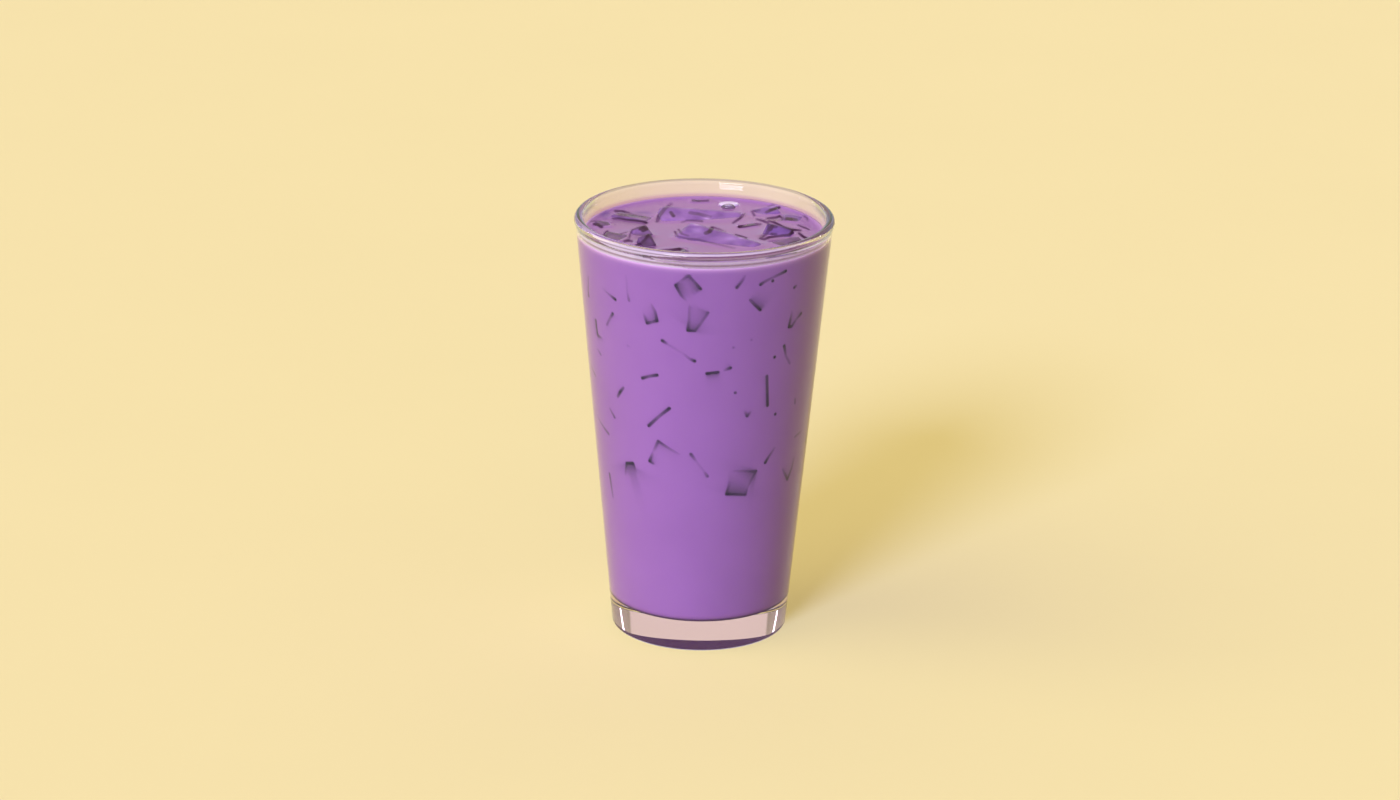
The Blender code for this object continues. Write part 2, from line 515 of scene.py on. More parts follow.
def make_lights():
    """One large soft key from the front left, a wide fill from the left, a weak warm one from
    the front, two narrow lights behind, and the rectangle that the glass reflects of the key."""
    for row in SUNS:
        sun(*row)
    for row in SOFTBOXES:
        softbox(*row)


BACKDROP = (0.92, 0.795, 0.585)  # the pale cream that the drink's surface reflects
# Round the horizon, in degrees from straight behind: what the glass base shows at its ends
STUDIO = [
    (0.0, BACKDROP),
    (41.0, BACKDROP),
    (43.0, (0.27, 0.24, 0.15)),
    (46.5, (0.37, 0.32, 0.21)),
    (54.0, (0.40, 0.33, 0.25)),
    (60.0, (0.28, 0.21, 0.20)),
    (84.0, (0.28, 0.21, 0.20)),
]
SKY_FRONT = (0.40, 0.28, 0.62)
LEFT = [(94.0, (0.92, 0.96, 0.80)), (115.0, (0.86, 0.90, 0.75)), (135.0, SKY_FRONT)]
RIGHT = [(94.0, (0.05, 0.06, 0.09)), (110.0, (0.05, 0.06, 0.09)), (135.0, SKY_FRONT)]
# Each pair goes from where a light begins to show to where it is full. Z is -1 straight down and
# 1 straight up, and a turn of 1 is from straight behind to straight in front.
SKY_TOP = (0.85, 0.78, 0.50)
SKY_TOP_Z = (0.15, 0.85)
SKY_LOW = (0.74, 0.82, 0.80)  # cool light low behind, seen in the rim's ends
SKY_LOW_Z = (0.31, 0.27)
SKY_LOW_TURN = (0.28, 0.2)
# What comes up from the floor, which itself gives the drink no light
BOUNCE = (0.93, 0.79, 0.42)
BOUNCE_RIGHT = (0.23, 0.12, 0.12)
BOUNCE_RIGHTWARD = (0.25, 0.95)
BOUNCE_SOFTENING = 0.02  # keeps it from jumping from left to right straight below
BOUNCE_UNDER = (0.60, 0.52, 1.45)
BOUNCE_UNDER_Z = (-0.8, -0.95)


def ramp(n, value, stops):
    """A colour for each value, from (value, colour) pairs."""
    node = n.add("ShaderNodeValToRGB", {0: value})
    elements = node.color_ramp.elements
    while len(elements) < len(stops):
        elements.new(0.5)
    for element, (place, colour) in zip(elements, stops):
        element.position = place
        element.color = (*colour, 1.0)
    return node.outputs[0]


def make_world():
    """A soft studio: warm from above, cream behind, bright on the left and dark on the right."""
    n = Nodes(bpy.data.worlds.new("studio"))
    bpy.context.scene.world = n.owner
    x, y, z = n.split(n.add("ShaderNodeTexCoord").outputs["Generated"])
    turn = n.math("DIVIDE", n.math("ARCTAN2", n.math("ABSOLUTE", x), y), math.pi)
    sides = [ramp(n, turn, [(a / 180.0, c) for a, c in STUDIO + rest]) for rest in (LEFT, RIGHT)]
    ring = n.mix_colour(n.math("GREATER_THAN", x, 0.0), *sides)
    low = n.math("MULTIPLY", n.remap(z, *SKY_LOW_Z), n.remap(turn, *SKY_LOW_TURN))
    ring = n.mix_colour(low, ring, SKY_LOW)
    softened = n.math("ADD", n.math("MULTIPLY", x, x), BOUNCE_SOFTENING)
    rightward = n.math("DIVIDE", x, n.math("SQRT", softened))
    below = n.mix_colour(n.remap(rightward, *BOUNCE_RIGHTWARD), BOUNCE, BOUNCE_RIGHT)
    below = n.mix_colour(n.remap(z, *BOUNCE_UNDER_Z), below, BOUNCE_UNDER)
    ring = n.mix_colour(n.math("LESS_THAN", z, 0.0), ring, below)
    height = n.remap(z, *SKY_TOP_Z)
    height.node.interpolation_type = "SMOOTHSTEP"
    back = n.add("ShaderNodeBackground", {"Color": n.mix_colour(height, ring, SKY_TOP)})
    n.add("ShaderNodeOutputWorld", {"Surface": back.outputs[0]})


# ---- the glass ----

FILM_FROM = DRINK_LEVEL + 0.4  # heights of the drink's film on the inside of the glass
FILM_TO = GLASS_HEIGHT - 0.1  # at the back; elsewhere it ends lower
FILM_LOWER = 2.9  # by this much in front
FILM_BACK_Y = RIM_RADIUS / 2  # y from which it counts as the back
FILM_RADIUS = RIM_RADIUS - 0.55 * LIP_THICKNESS  # it stays on the inner side of this
LEFT_HIGHLIGHT_FILM = 3.4  # height of a thicker film in front on the left, partly painted highlight
LEFT_HIGHLIGHT_FILM_LEFT = (2.0, 22.0)  # how far to the left it begins and is full,
LEFT_HIGHLIGHT_FILM_FRONT = (0.0, 14.0)  # and how far to the front
# The thicker film is also a painted highlight on the lip, outside and inside:
LIP_HIGHLIGHT_FILM = (0.2, 0.9)  # a little on the outside of the lip, from and to this far below the rim
LIP_HIGHLIGHT_FILM_LEFT = 0.06  # mm lower for each mm to the left
LIP_HIGHLIGHT_FILM_LOWEST = 2.4
LIP_HIGHLIGHT_FILM_FRONT = (0.45 * RIM_RADIUS, 0.8 * RIM_RADIUS)
# And on the inside of the lip: degrees round from the front, depth below the rim and half width
INNER_HIGHLIGHT_FILM = (-84.0, -46.0)
INNER_HIGHLIGHT_FILM_DEPTH = 0.75
INNER_HIGHLIGHT_FILM_HALF = 0.55


def glass_profile():
    """(r, z) from the middle of the floor, up the inside, over the lip and under the foot."""
    corner_z = FLOOR + FLOOR_ROUNDING
    corner_r = wall_inner_radius(corner_z) - FLOOR_ROUNDING
    profile = [(0.0, FLOOR)]
    profile += arc((corner_r, corner_z), FLOOR_ROUNDING, -90, -WALL_LEAN, 12)
    lip_r = LIP_THICKNESS / 2
    lip_z = GLASS_HEIGHT - lip_r
    inner = [*np.linspace(profile[-1][1] + 2.0, FILM_FROM, 22)]
    inner += [*np.linspace(FILM_FROM, lip_z, 14)[1:-1]]
    for z in inner:
        t = smooth_step(max(0.0, (z - FILM_FROM) / (lip_z - FILM_FROM)))
        profile.append((wall_inner_radius(z) * (1.0 - t) + (RIM_RADIUS - LIP_THICKNESS) * t, z))
    profile += arc((RIM_RADIUS - lip_r, lip_z), lip_r, 180, -30, 40)
    outer = np.linspace(profile[-1][1] - 1.6, 4.0, 24)
    profile += [(wall_outer_radius(z), z) for z in outer]
    foot_r = wall_outer_radius(FOOT_ROUNDING) - FOOT_ROUNDING
    profile += arc((foot_r, FOOT_ROUNDING), FOOT_ROUNDING, -WALL_LEAN, -90, 10)
    profile.append((foot_r - FOOT_RING, 0.0))
    hollow_r = foot_r - FOOT_RING - FOOT_STEP
    for part in np.linspace(1.0, 0.0, 24):
        profile.append((hollow_r * part, UNDERSIDE_RISE + UNDERSIDE_DOME * (1.0 - part**4)))
    return profile


def film_at(x, y, z):
    """Which of GLASSES a place on the glass is made of."""
    depth = GLASS_HEIGHT - z
    from_axis = math.hypot(x, y)
    if from_axis > RIM_RADIUS - LIP_THICKNESS / 2:
        to = (LIP_HIGHLIGHT_FILM[1] + max(0.0, -x) * LIP_HIGHLIGHT_FILM_LEFT) * rise(-y, *LIP_HIGHLIGHT_FILM_FRONT)
        if LIP_HIGHLIGHT_FILM[0] < depth < min(to, LIP_HIGHLIGHT_FILM_LOWEST):
            return THICK_FILM_AND_HIGHLIGHT
    else:
        start, end = INNER_HIGHLIGHT_FILM
        from_middle = math.degrees(math.atan2(x, -y)) - (start + end) / 2
        taper = 1.0 - (2.0 * from_middle / (end - start)) ** 2
        if taper > 0.0 and abs(depth - INNER_HIGHLIGHT_FILM_DEPTH) < INNER_HIGHLIGHT_FILM_HALF * taper:
            return THICK_FILM_AND_HIGHLIGHT
    film_to = FILM_TO - FILM_LOWER * (1.0 - rise(y, 0.0, FILM_BACK_Y))
    if from_axis > FILM_RADIUS or not FILM_FROM < z < film_to:
        return CLEAR
    left = rise(-x, *LEFT_HIGHLIGHT_FILM_LEFT) * rise(-y, *LEFT_HIGHLIGHT_FILM_FRONT)
    return THICK_FILM_AND_HIGHLIGHT if z < FILM_FROM + LEFT_HIGHLIGHT_FILM * left else FILMED


def make_glass():
    glass = revolve("mixing_glass", glass_profile(), GLASS_COLUMNS)
    for row in GLASSES:
        glass.data.materials.append(glass_material(*row))
    for p in glass.data.polygons:
        p.material_index = film_at(*(p.center / MM))
    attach(glass, "root")
    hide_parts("glass")


# ---- edges of the ice that show ----


def in_units(rows):
    """The rows with their points in degrees or mm, and strengths from 0 to 1."""
    return [
        [(p[0] / 10, p[1] / 10, p[2] / 100) if isinstance(p, tuple) else p for p in row]
        for row in rows
    ]


# Edges of the ice sunk in the drink, where they come close enough to the glass to show. Each row
# is how far the ice behind the edge stays in sight (to the left of the path, or to the right
# where it is negative), and then points along it: tenths of a degree round from the front,
# height in tenths of a mm, and how clearly the edge shows there, in percent.
SUNK_EDGES = in_units([
    (-0.5, (-694, 1303, 25), (-710, 1252, 45), (-710, 1231, 75)),
    (0.3, (-550, 1289, 5), (-501, 1277, 30), (-464, 1268, 100)),
    (0.4, (-385, 1376, 4), (-383, 1307, 10), (-376, 1279, 45)),
    (2.2, (-14, 1352, 95), (-44, 1378, 60), (-70, 1398, 75), (-108, 1374, 25), (-129, 1360, 95),
     (-104, 1326, 60), (-80, 1308, 10)),
    (0.4, (-489, 1212, 90), (-510, 1193, 35), (-541, 1163, 40)),
    (0.7, (-591, 1101, 10), (-638, 1105, 85), (-644, 1129, 80), (-645, 1157, 80)),
    (1.3, (-294, 1241, 10), (-278, 1210, 95), (-252, 1217, 60), (-225, 1224, 100), (-233, 1255, 50),
     (-251, 1279, 15)),
    (2.6, (-63, 1285, 25), (-66, 1240, 35), (-72, 1200, 100), (-38, 1200, 80), (-10, 1228, 45),
     (11, 1252, 50), (22, 1266, 65)),
    (0.3, (-200, 1154, 100), (-172, 1143, 15), (-99, 1116, 5), (-62, 1096, 30), (-39, 1089, 100)),
    (0.3, (-652, 1050, 15), (-623, 1038, 40)),
    (0.3, (-399, 1111, 15)),
    (0.3, (-757, 1147, 20), (-756, 1134, 30)),
    (0.4, (156, 1354, 85), (179, 1375, 45), (192, 1393, 15)),
    (0.3, (274, 1356, 95), (294, 1364, 50), (336, 1374, 30), (377, 1382, 60), (409, 1388, 100)),
    (0.3, (338, 1362, 90)),
    (0.3, (476, 1319, 90), (487, 1322, 40)),
    (1.7, (226, 1304, 55), (251, 1284, 80), (281, 1264, 100)),
    (0.7, (475, 1227, 15), (469, 1204, 60), (464, 1178, 100), (483, 1176, 80), (513, 1197, 30),
     (547, 1212, 80)),
    (0.3, (443, 1112, 95), (462, 1072, 25), (496, 1040, 30)),
    (0.3, (386, 1079, 100)),
    (0.3, (244, 1158, 20)),
    (0.3, (153, 1136, 25)),
    (-1, (24, 1044, 100), (79, 1048, 90)),
    (0.6, (113, 1055, 20), (141, 1062, 95)),
    (0.3, (173, 969, 70)),
    (-0.5, (347, 1014, 80), (357, 956, 85), (366, 904, 100)),
    (0.3, (575, 894, 30), (579, 879, 35)),
    (0.3, (424, 864, 90)),
    (0.6, (231, 897, 10), (246, 878, 85), (267, 894, 10)),
    (0.3, (383, 690, 100), (404, 709, 60), (441, 736, 15)),
    (0.9, (527, 643, 20), (585, 595, 80), (622, 630, 40), (636, 666, 15)),
    (3.4, (174, 653, 5), (150, 593, 100), (207, 589, 90), (264, 583, 80), (276, 610, 25),
     (323, 665, 85), (301, 666, 80), (253, 672, 50), (183, 678, 15)),
    (0.4, (37, 663, 60), (17, 682, 10), (-26, 718, 10), (-55, 744, 75)),
    (0.3, (681, 753, 25), (619, 747, 30)),
    (0.3, (-318, 1004, 100), (-278, 1016, 60), (-234, 1025, 100)),
    (0.3, (-495, 909, 50), (-474, 929, 100), (-447, 949, 50)),
    (0.3, (-572, 849, 20), (-535, 825, 60)),
    (0.3, (-292, 832, 95), (-230, 873, 55), (-171, 908, 100)),
    (0.3, (-737, 783, 10), (-608, 750, 60)),
    (0.9, (-121, 741, 10), (-180, 760, 35), (-238, 780, 80), (-271, 737, 8), (-295, 700, 100),
     (-274, 694, 50)),
    (3.2, (-387, 640, 12), (-411, 676, 100), (-459, 668, 100), (-477, 622, 12)),
    (0.4, (-637, 595, 70), (-618, 514, 25)),
    (0.3, (-779, 963, 20), (-719, 941, 45)),
])
SEEN_FRONT = 84.0  # degrees to each side that SUNK_EDGES covers
SUNK_LOW, SUNK_HIGH = 56.0, 138.0  # heights between which sunk ice touches the glass
EDGES_BEHIND = 44  # edges placed round the rest of the glass
EDGES_APART = 8.5  # mm between the middles of any two of them
EDGE_CORE = 0.33  # half the width of the dark line
EDGE_SOFT = 0.40  # mm over which it fades
SUNK_SHADE = 1.3  # by which the first numbers of SUNK_EDGES count
CLEARNESS = (0.7, 1.1)  # of a placed edge beside the one that it copies


def middle_of(path):
    """The mean of the first and of the second numbers of its points."""
    return [sum(p[i] for p in path) / len(path) for i in (0, 1)]


def edges_all_round():
    """SUNK_EDGES, and more of their kind placed at random where the picture doesn't reach."""
    draw = random.Random(7)
    edges = list(SUNK_EDGES)
    taken = []
    while len(taken) < EDGES_BEHIND:
        to_angle = 180.0 + draw.uniform(SEEN_FRONT - 180.0, 180.0 - SEEN_FRONT)
        to_height = draw.uniform(SUNK_LOW + 4.0, SUNK_HIGH - 4.0)
        spot = (math.radians(to_angle) * wall_inner_radius(to_height), to_height)
        if any(math.dist(spot, other) < EDGES_APART for other in taken):
            continue
        taken.append(spot)
        shade, *path = draw.choice(SUNK_EDGES)
        middle, height = middle_of(path)
        mirror = draw.choice((-1, 1))
        clear = draw.uniform(*CLEARNESS)
        stretch = wall_inner_radius(height) / wall_inner_radius(to_height)
        moved = [
            (
                to_angle + mirror * stretch * (p[0] - middle),
                min(SUNK_HIGH + 2.0, max(SUNK_LOW - 4.0, to_height + p[1] - height)),
                min(1.0, p[2] * clear),
            )
            for p in path
        ]
        edges.append((shade * mirror, *moved))
    return edges


def smooth_fall(distance, core, soft):
    return smooth_step(np.clip((core + soft - distance) / soft, 0.0, 1.0))


# Edges and thin dark places of the ice at the drink's surface. Each row is half the width of the
# line, then the shade beside it as in SUNK_EDGES, then points: x and y in tenths of a mm, and how
# dark the line is there, in percent.
TOP_EDGES = in_units([
    # two slabs
    (0.45, -0.9, (-162, 117, 50), (-157, 176, 70), (-139, 256, 60), (-117, 322, 25)),
    (0.3, 0, (-116, 222, 70), (-107, 179, 85)),
    (0.5, 0, (-49, 221, 35), (-20, 207, 50), (18, 175, 30)),
    (0.25, 0, (137, 215, 35), (122, 165, 75), (99, 111, 45)),
    (0.15, 0, (-77, 110, 30), (-60, 132, 45), (-8, 125, 50)),
    (0.15, 0, (-100, -1, 60), (-90, -53, 50), (-58, -75, 45), (-18, -87, 40), (27, -123, 30),
     (101, -176, 25)),
    (0.15, 0, (-88, 24, 50), (-76, -23, 45), (-56, -41, 30)),
    (0.45, 0, (6, -10, 70), (18, 10, 95), (26, 44, 80)),
    (0.3, -0.7, (27, 59, 45), (50, 36, 35), (70, 13, 20)),
    (0.2, 0, (107, -24, 50), (124, -42, 75), (143, -60, 60)),
    # slivers
    (0.3, 0, (-44, 358, 25), (-21, 361, 55), (11, 368, 50)),
    (0.35, 0, (120, 68, 100), (139, 74, 80), (165, 92, 75), (192, 101, 35)),
    (0.35, 0, (-150, -213, 40), (-122, -213, 70), (-83, -196, 95), (-57, -221, 40)),
    # left
    (0.2, -1.4, (-315, 142, 60), (-293, 143, 80), (-265, 129, 90), (-236, 121, 90), (-213, 113, 95),
     (-199, 98, 95)),
    (0.3, 0, (-308, 230, 60), (-284, 225, 75), (-259, 207, 40)),
    (0.2, 0, (-296, 195, 30), (-266, 182, 55), (-238, 174, 50), (-205, 164, 45)),
    (0.35, 0, (-376, 74, 80), (-364, 68, 100), (-352, 42, 80)),
    (0.12, 0, (-387, 105, 35), (-358, 106, 45), (-332, 77, 40)),
    (0.3, 0, (-331, -9, 60), (-338, -40, 70), (-337, -70, 90)),
    (0.15, 0, (-327, -18, 30), (-289, -41, 35), (-264, -12, 30)),
    (0.4, 0, (-217, 24, 90), (-209, 46, 100), (-198, 25, 100), (-208, 6, 90)),
    (0.2, 0, (-255, -84, 35), (-252, -36, 50), (-246, 10, 60), (-229, 37, 50), (-218, 48, 70)),
    (0.3, 0, (-269, -116, 55), (-258, -107, 75), (-246, -115, 50)),
    (0.25, -1.6, (-232, -168, 95), (-214, -142, 80), (-199, -94, 85), (-189, -42, 100)),
    (0.2, -1, (-186, -39, 80), (-173, -110, 50), (-165, -170, 40)),
    (0.2, 0, (-232, -168, 90), (-196, -192, 75), (-171, -183, 50)),
    # right
    (0.3, 0, (215, 243, 60), (229, 267, 95), (247, 288, 100), (258, 299, 85)),
    (0.12, 0, (222, 310, 30), (245, 337, 40), (269, 337, 35)),
    (0.25, 0, (189, 265, 30), (165, 249, 50), (172, 202, 50)),
    (0.25, 0, (217, 170, 50), (248, 182, 70), (259, 196, 85), (269, 172, 50)),
    (0.3, 0, (182, 156, 40), (203, 138, 60), (216, 119, 50)),
    (0.35, 0, (284, 168, 90), (298, 165, 100), (315, 158, 70)),
    (0.15, 0, (343, 205, 35), (354, 178, 50), (355, 152, 30)),
    (0.15, 0, (322, 95, 50), (340, 73, 65), (358, 47, 55)),
    (0.2, 0.9, (302, 41, 100), (273, 70, 80), (243, 120, 85), (222, 138, 45)),
    (0.25, 0, (328, 35, 60), (302, 41, 100), (296, 4, 100), (286, -19, 85), (253, -33, 75),
     (220, -49, 85), (204, -73, 60), (190, -63, 60)),
    (0.25, 0, (220, 132, 40), (220, 55, 80), (213, -10, 50), (192, -59, 50)),
    (0.5, 0, (223, 42, 80), (231, 78, 90), (243, 74, 60)),
    (0.25, 0, (230, -9, 75), (243, -12, 60)),
    (0.25, 0, (324, 2, 70), (337, -36, 95), (350, -55, 80)),
    (0.3, 0, (288, -115, 50), (305, -104, 80), (324, -91, 95)),
])
# Soft patches: x, y, half width, half depth and strength
# Painted highlights on the ice
PAINTED_ICE_HIGHLIGHTS = (
    (-2.5, 8.8, 1.7, 1.8, 0.8), (0.9, 16, 1.1, 1.9, 0.8), (-2.5, 1.6, 2.4, 3, 0.5),
    (9.3, -7, 2.4, 2.5, 0.6), (12.5, -6.1, 1.4, 1.1, 0.9), (23.2, 30.8, 1.4, 1.7, 0.6),
    (19.8, 21.9, 2.4, 1.9, 0.25), (35.1, 3.4, 1, 1.4, 0.9),
)
DEEP_ICE = (
    (-34.3, 19.2, 2.1, 5.2, 0.8), (-21.6, 21.5, 3.1, 1.9, 0.7), (-4.9, 1, 2, 2.3, 0.5),
    (25.9, 4.8, 2.7, 3.4, 0.7), (13.8, -10.6, 2.7, 2.3, 0.4), (31.2, 21.3, 3.5, 4.7, 0.3),
)
# Painted shade, on the ice and on the drink's top
PAINTED_ICE_SHADE_PATCHES = (
    (-30.3, -7.1, 3.1, 4, 0.6), (-26, 18.7, 4.1, 1.8, 0.6), (27.4, -8.8, 4.1, 3.9, 0.6),
    (24.3, 15.1, 3.1, 1.5, 0.8), (19.6, -3.5, 1.4, 2.5, 0.6), (-22.8, -5.6, 1.7, 5.7, 0.5),
)
LINE_OF_SIGHT = 3.2  # mm further back that a mm of height looks, from the front
TOP_SOFT = 0.6  # mm over which the lines of TOP_EDGES fade
PLAN_LEVEL = DRINK_LEVEL + 0.5  # the height at which x and y count as they are
DEPTH_SEEN = 0.4  # how deep a millimetre of y looks beside one of x
SHADE = 0.9  # how clear the ice beside an edge is next to the edge
SHADE_PAST_END = 0.5  # mm over which it fades past the ends of the edge


def line_strength(x, y, path, core, soft, shade):
    """Which of the points x, y one edge may reach, and how strongly it shows there. path is
    (x, y, strength) points; the line is wider where it is stronger."""
    reach = max(math.hypot(p[0], p[1]) for p in path) + 3.0 * abs(shade) + core + 1.5
    near = np.nonzero((np.abs(x) < reach) & (np.abs(y) < reach))[0]
    x, y = x[near], y[near]
    best = np.zeros(len(near))
    for (x0, y0, s0), (x1, y1, s1) in zip(path, path[1:]) if len(path) > 1 else [path * 2]:
        dx, dy = x1 - x0, y1 - y0
        length = math.hypot(dx, dy)
        along = ((x - x0) * dx + (y - y0) * dy) / max(length * length, 1e-9)
        t = np.clip(along, 0.0, 1.0)
        distance = np.hypot(x - x0 - t * dx, y - y0 - t * dy)
        strength = s0 + (s1 - s0) * t
        wide = core * (0.75 + 0.5 * strength)
        best = np.maximum(best, strength**0.8 * smooth_fall(distance, wide, soft))
        if shade != 0.0 and length > 0.0:
            side = (dx * (y - y0) - dy * (x - x0)) * shade > 0.0
            beyond = np.abs(along - t) * length
            fall = np.exp(-distance / abs(shade) - beyond / SHADE_PAST_END)
            best = np.maximum(best, SHADE * strength * fall * side)
    return near, best


def plan_of(points):
    """x and y in mm of points in metres. Higher ones count as further back, as they look from
    the front."""
    above = points[:, 2] / MM - PLAN_LEVEL
    return points[:, 0] / MM, points[:, 1] / MM + above * LINE_OF_SIGHT


def top_edges_at(points, widen=0.0):
    """How dark the ice is, 0 to 1, at points at the drink's surface (metres)."""
    seen = np.zeros(len(points))
    x, y = plan_of(points)
    for core, shade, *path in TOP_EDGES:
        mx, my, _ = path[len(path) // 2]
        local = [(p[0] - mx, (p[1] - my) * DEPTH_SEEN, p[2]) for p in path]
        near, best = line_strength(x - mx, (y - my) * DEPTH_SEEN, local, core + widen, TOP_SOFT, shade)
        seen[near] = np.maximum(seen[near], best)
    return seen


def patches_at(points, patches):
    x, y = plan_of(points)
    most = np.zeros(len(points))
    for px, py, half_x, half_y, strength in patches:
        far = ((x - px) / half_x) ** 2 + ((y - py) / half_y) ** 2
        most = np.maximum(most, strength * np.exp(-far))
    return most


def ice_seen_at(angle, height, edges, widen=0.0):
    """How clearly ice shows, 0 to 1, at points on the inside of the wall (degrees and mm)."""
    seen = np.zeros(len(angle))
    for shade, *path in edges:
        middle, level = middle_of(path)
        mm_per_degree = math.radians(1.0) * wall_inner_radius(level)
        across = ((angle - middle + 180.0) % 360.0 - 180.0) * mm_per_degree
        local = [((p[0] - middle) * mm_per_degree, p[1] - level, p[2]) for p in path]
        near, best = line_strength(
            across, height - level, local, EDGE_CORE + widen, EDGE_SOFT, SUNK_SHADE * shade
        )
        seen[near] = np.maximum(seen[near], best)
    return seen


def angle_and_height(points):
    """Degrees round from the front and height in mm of points in metres."""
    return np.degrees(np.arctan2(points[:, 0], -points[:, 1])), points[:, 2] / MM


# ---- ice and drink ----

REMESH_SIZE = 0.3  # mm between points of the finished ice
SWELL = 0.16  # the uneven melting of its faces
WAVES = ((200.0, 1.0), (450.0, 0.5))  # the waves in it: how many a metre, and how high
THIN_WAVES = 260.0  # a metre, of the milk that clings to it
THIN_SHIFT = Vector((3, 1, 2))
MILKY_SLABS = 0.92  # how far milk hides the slabs, which have neither deep ice nor painted shade
MILKY_ELSEWHERE = 0.75
MILKY_VARIES = 0.25
MILKY_RANGE = (0.3, 0.97)
DARK_IS_MILKY = 1.3  # dark places let less light through
# Each block of ice: how smooth it has melted, how deep, its painted shade and how dark it looks
TONES = {
    "ice_front_slab": (16, 0.05, 0, 0),
    "ice_back_slab": (16, 0, 0, 0),
    "ice_back_wall_chip": (4, 0, 0.5, 0.4),
    "ice_left_back_slab": (4, 0, 0.7, 0),
    "ice_left_wall_chip": (4, 0, 0.6, 0.2),
    "ice_left_front_block": (4, 0, 0.65, 0),
    "ice_left_middle_corner": (3, 0, 0.75, 0.1),
    "ice_left_front_peak": (3, 0.2, 0.8, 0.1),
    "ice_front_sliver": (4, 0, 0.5, 0.5),
    "ice_middle_sliver": (4, 0, 0.4, 0.5),
    "ice_right_back_block": (3, 0.15, 0, 0),
    "ice_right_wall_slab": (4, 0.3, 0.1, 0),
    "ice_right_wedge": (3, 0.7, 0, 0),
    "ice_right_front_block": (4, 0.1, 0.8, 0.05),
}


def ice_piece(node, material):
    """A smooth, melting block made from the plain solid, a little uneven all over."""
    mesh = frame["nodes"][node].data.copy()
    obj = link(bpy.data.objects.new(node.replace("ice_", "melting_"), mesh))
    obj.data.materials.clear()
    obj.data.materials.append(material)
    remesh = obj.modifiers.new("remesh", "REMESH")
    remesh.mode = "VOXEL"
    remesh.voxel_size = REMESH_SIZE * MM
    smooth = obj.modifiers.new("smooth", "SMOOTH")
    smooth.iterations = TONES[node][0]
    smooth.factor = 0.5
    apply_modifiers(obj)
    mesh = obj.data
    points = points_of(mesh)
    waves = [sum(high * noise.noise(Vector(p) * many) for many, high in WAVES) for p in points]
    set_points(mesh, points + normals_of(mesh) * np.array(waves)[:, None] * SWELL * MM)
    thin = np.array([noise.noise(Vector(p) * THIN_WAVES + THIN_SHIFT) for p in points])
    seen = top_edges_at(points)
    _, deep, dull, dark = TONES[node]
    usual = MILKY_SLABS if deep + dull == 0.0 else MILKY_ELSEWHERE
    milky = np.clip(usual + MILKY_VARIES * thin, *MILKY_RANGE)
    seen = np.maximum(seen, dark * np.clip(0.7 + thin, 0.0, 1.0))
    add_values(
        mesh,
        milky=np.maximum(milky, np.minimum(1.0, seen * DARK_IS_MILKY)),
        ice_seen=seen,
        # The pale patches are painted highlights
        pale=patches_at(points, PAINTED_ICE_HIGHLIGHTS),
        deep=np.maximum(patches_at(points, DEEP_ICE), deep * np.clip(0.8 + thin, 0.0, 1.0)),
        # Painted shade on the ice
        dull=np.maximum(patches_at(points, PAINTED_ICE_SHADE_PATCHES), dull * np.clip(0.8 - thin, 0.0, 1.0)),
        froth=np.zeros(len(points)),
    )
    mesh.shade_smooth()
    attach(obj, "root")
    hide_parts(node)
    return obj


def tree_of(objects):
    """One search tree over the surfaces of several objects."""
    vertices, faces = [], []
    for obj in objects:
        start = len(vertices)
        vertices += [v.co.copy() for v in obj.data.vertices]
        faces += [tuple(start + i for i in p.vertices) for p in obj.data.polygons]
    return BVHTree.FromPolygons(vertices, faces)


SIDE_COLUMNS = 220
TOP_COLUMNS = 440  # half as many within the first of these radii, a quarter within the second
TOP_FEWER = (20.0, 9.0)
TOP_BEGINS, TOP_ENDS = 0.9, 0.2  # its first ring from the axis, its last from the wall
# Between rings: on the top, near the wall, high on the side, on it, where it is plain, below
TOP_STEP, WALL_STEP, HIGH_STEP, SIDE_STEP, PLAIN_STEP, BOTTOM_STEP = 0.8, 0.35, 0.4, 1.2, 3.0, 4.0
NEAR_WALL = 4.0
HIGH_FROM = DRINK_LEVEL - 1.5
PLAIN_TO = 48.0
ON_THE_SIDE = 0.15  # a point this close to the wall lies on the side
SIDE_CUTS, TOP_CUTS = 3, 1  # of each edge where ice shows
SIDE_CUTS_TO = DRINK_LEVEL - 1.6
SIDE_CUTS_REACH, TOP_CUTS_REACH = 0.55, 0.4  # mm further than the ice itself
CUT_FROM = 0.1  # how clearly ice shows where the cuts begin
MENISCUS_HEIGHT = 0.9  # at the glass
MENISCUS_REACH = 1.1


